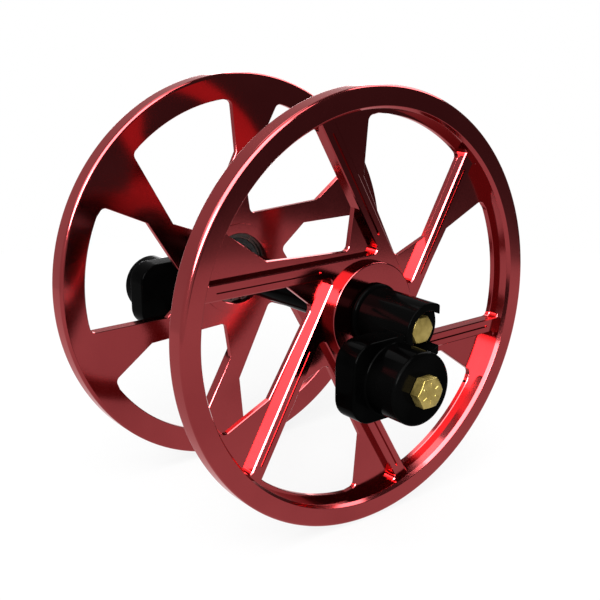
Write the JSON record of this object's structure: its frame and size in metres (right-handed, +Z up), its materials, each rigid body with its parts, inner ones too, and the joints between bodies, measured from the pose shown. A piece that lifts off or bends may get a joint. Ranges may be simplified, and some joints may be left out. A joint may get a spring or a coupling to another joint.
{
  "type": "idler wheel axle set",
  "caption": "Pair of large spoked idler wheels on a cross shaft, with an offset bolt-on bracket outside each wheel.",
  "frame": {"origin": "middle of the axle, halfway between the two wheels", "axes": "+X along the axle to the right, +Z up, +Y towards the side away from the lower bosses"},
  "size_m": [0.2858, 0.254, 0.254],
  "materials": {
    "red_anodised": "bright red anodised, polished",
    "black_coat": "gloss black",
    "bearing_steel": "ground",
    "cage_bronze": "satin",
    "seal_rubber": "satin",
    "yellow_zinc": "yellow zinc plated"
  },
  "bodies": {
    "axle_assembly": {"axle_shaft": "black_coat", "right_bearing_inner_ring": "bearing_steel", "right_axle_snap_ring": "bearing_steel", "right_axle_collar": "black_coat", "right_end_bracket": "black_coat", "right_axle_bolt": "yellow_zinc", "right_axle_bolt_washer": "black_coat", "right_mount_bolt": "yellow_zinc", "left_bearing_inner_ring": "bearing_steel", "left_axle_snap_ring": "bearing_steel", "left_axle_collar": "black_coat", "left_end_bracket": "black_coat", "left_axle_bolt": "yellow_zinc", "left_axle_bolt_washer": "black_coat", "left_mount_bolt": "yellow_zinc"},
    "right_wheel_body": {"right_wheel": "red_anodised", "right_bearing_outer_ring": "bearing_steel", "right_bearing_outer_seal": "seal_rubber", "right_bearing_inner_seal": "seal_rubber", "right_hub_snap_ring": "bearing_steel"},
    "right_cage_body": {"right_bearing_cage": "cage_bronze", "right_ball_01": "bearing_steel", "right_ball_02": "bearing_steel", "right_ball_03": "bearing_steel", "right_ball_04": "bearing_steel", "right_ball_05": "bearing_steel", "right_ball_06": "bearing_steel", "right_ball_07": "bearing_steel", "right_ball_08": "bearing_steel", "right_ball_09": "bearing_steel", "right_ball_10": "bearing_steel"},
    "left_wheel_body": {"left_wheel": "red_anodised", "left_bearing_outer_ring": "bearing_steel", "left_bearing_outer_seal": "seal_rubber", "left_bearing_inner_seal": "seal_rubber", "left_hub_snap_ring": "bearing_steel"},
    "left_cage_body": {"left_bearing_cage": "cage_bronze", "left_ball_01": "bearing_steel", "left_ball_02": "bearing_steel", "left_ball_03": "bearing_steel", "left_ball_04": "bearing_steel", "left_ball_05": "bearing_steel", "left_ball_06": "bearing_steel", "left_ball_07": "bearing_steel", "left_ball_08": "bearing_steel", "left_ball_09": "bearing_steel", "left_ball_10": "bearing_steel"}
  },
  "joints": [
    {"name": "right_wheel_spin", "type": "hinge", "parent": "axle_assembly", "child": "right_wheel_body", "pos_m": [0.0674, 0, 0], "axis": [1, 0, 0], "continuous": true},
    {"name": "right_cage_spin", "type": "hinge", "parent": "axle_assembly", "child": "right_cage_body", "pos_m": [0.0674, 0, 0], "axis": [1, 0, 0], "continuous": true},
    {"name": "left_wheel_spin", "type": "hinge", "parent": "axle_assembly", "child": "left_wheel_body", "pos_m": [-0.0674, 0, 0], "axis": [1, 0, 0], "continuous": true},
    {"name": "left_cage_spin", "type": "hinge", "parent": "axle_assembly", "child": "left_cage_body", "pos_m": [-0.0674, 0, 0], "axis": [1, 0, 0], "continuous": true}
  ],
  "couplings": [
    {"joint": "right_cage_spin", "follows": "right_wheel_spin", "ratio": 0.5611},
    {"joint": "left_cage_spin", "follows": "left_wheel_spin", "ratio": 0.5611}
  ]
}
